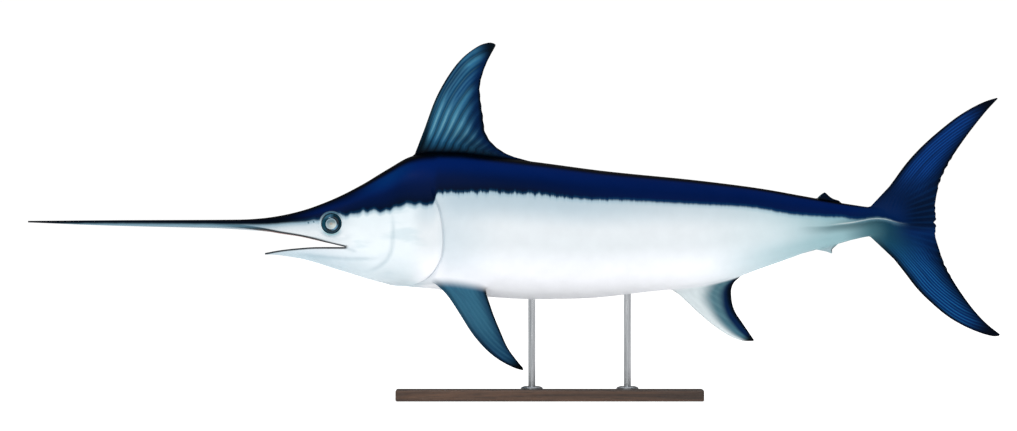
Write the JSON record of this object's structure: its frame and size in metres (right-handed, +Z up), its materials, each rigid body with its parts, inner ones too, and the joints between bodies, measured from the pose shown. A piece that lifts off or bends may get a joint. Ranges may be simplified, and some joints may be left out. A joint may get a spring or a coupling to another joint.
{
  "type": "swordfish",
  "caption": "Life-size swordfish with a long flat bill, open mouth, tall curved dorsal fin and crescent tail, held level on a low wooden display stand by steel rods.",
  "frame": {"origin": "on the floor under the middle of the fish's overall length, in its plane of symmetry", "axes": "+X towards the tail, +Y towards the fish's right side, +Z up towards its back; the picture is seen along +Y"},
  "size_m": [3, 0.4708, 1.1024],
  "materials": {
    "back": "dark navy skin, smooth and wet-looking",
    "flank": "pale blue-white skin with a silvery sheen",
    "fin": "slate blue and navy skin over fin rays, satin",
    "eye": "clear, glossy",
    "stand_wood": "dark stained, satin lacquer",
    "stand_steel": "brushed"
  },
  "bodies": {
    "root": {"bill": "back", "head": "flank", "lower_jaw": "flank", "gill_cover_left": "flank", "gill_cover_right": "flank", "eye_left": "eye", "eye_right": "eye", "trunk_front": "flank", "trunk_rear": "flank", "tail_stalk": "flank", "tail_fin_root": "fin", "tail_fin_upper": "fin", "tail_fin_lower": "fin", "keel_left": "fin", "keel_right": "fin", "first_dorsal_fin": "fin", "second_dorsal_fin": "fin", "first_anal_fin": "fin", "second_anal_fin": "fin", "pectoral_fin_left": "fin", "pectoral_fin_right": "fin", "stand_base": "stand_wood", "stand_rod_front": "stand_steel", "stand_rod_rear": "stand_steel", "stand_flange_front": "stand_steel", "stand_flange_rear": "stand_steel"}
  },
  "joints": []
}
